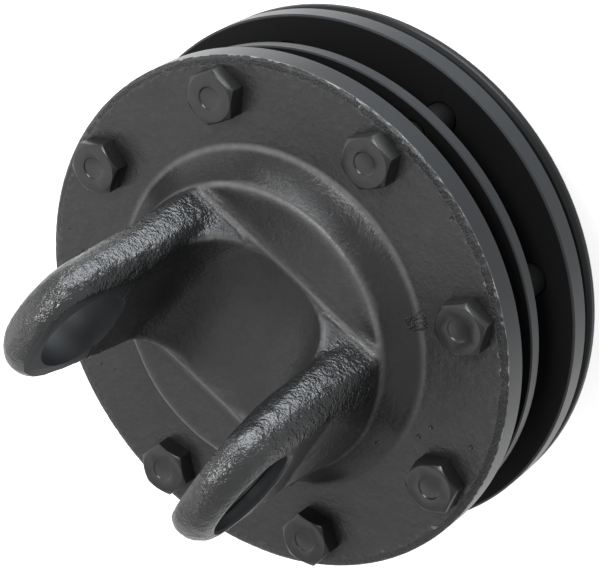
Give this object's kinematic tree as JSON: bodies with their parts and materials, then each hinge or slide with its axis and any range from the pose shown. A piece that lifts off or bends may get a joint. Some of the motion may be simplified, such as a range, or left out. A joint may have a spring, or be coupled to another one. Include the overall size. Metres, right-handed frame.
{
  "type": "friction coupling",
  "caption": "Friction coupling for a drive shaft: flange yoke with bored ears bolted to plates and a disc spring that clamp friction discs on a splined hub.",
  "frame": {"origin": "centre of the hub's end face, on the shaft axis, which is the centre of the base of the overall box", "axes": "+Z along the shaft axis from the hub's end to the yoke, +X along the axis of the ear bores, +Y completes the frame"},
  "size_m": [0.208, 0.208, 0.2015],
  "materials": {
    "painted_casting": "satin black paint on a raw casting",
    "painted_steel": "satin black paint",
    "painted_fasteners": "satin black paint over bolts and nuts",
    "plate_steel": "ground steel",
    "hub_steel": "machined forging, lightly oiled",
    "spring_steel": "oil-blackened spring steel",
    "zinc_steel": "zinc-plated",
    "lining": "pressed friction lining",
    "bronze": "sintered bronze",
    "nylon": "natural nylon"
  },
  "bodies": {
    "yoke_side": {"flange_yoke": "painted_casting", "pilot_bush": "bronze", "thrust_washer": "bronze", "friction_disc_1": "lining", "friction_disc_2": "lining", "intermediate_plate": "painted_steel", "friction_disc_3": "lining", "friction_disc_4": "lining", "pressure_plate": "painted_steel", "disc_spring": "painted_steel", "clamp_bolts": "painted_fasteners", "lock_nuts": "painted_fasteners", "nut_lock_rings": "nylon"},
    "hub_side": {"splined_hub": "hub_steel", "front_drive_plate": "plate_steel", "lock_pin_spring": "spring_steel", "lock_pin_cap": "zinc_steel", "lock_pin_ring": "spring_steel"},
    "lock_pin": {"lock_pin": "zinc_steel"}
  },
  "joints": [
    {"name": "clutch_slip", "type": "hinge", "parent": "yoke_side", "child": "hub_side", "pos_m": [0, 0, 0.05], "axis": [0, 0, 1], "continuous": true},
    {"name": "lock_pin_press", "type": "slide", "parent": "hub_side", "child": "lock_pin", "axis": [0, -1, 0], "range_m": [0, 0.012], "stiffness_N_per_m": 1500, "springref_m": -0.008, "deforming": ["lock_pin_spring"]}
  ]
}
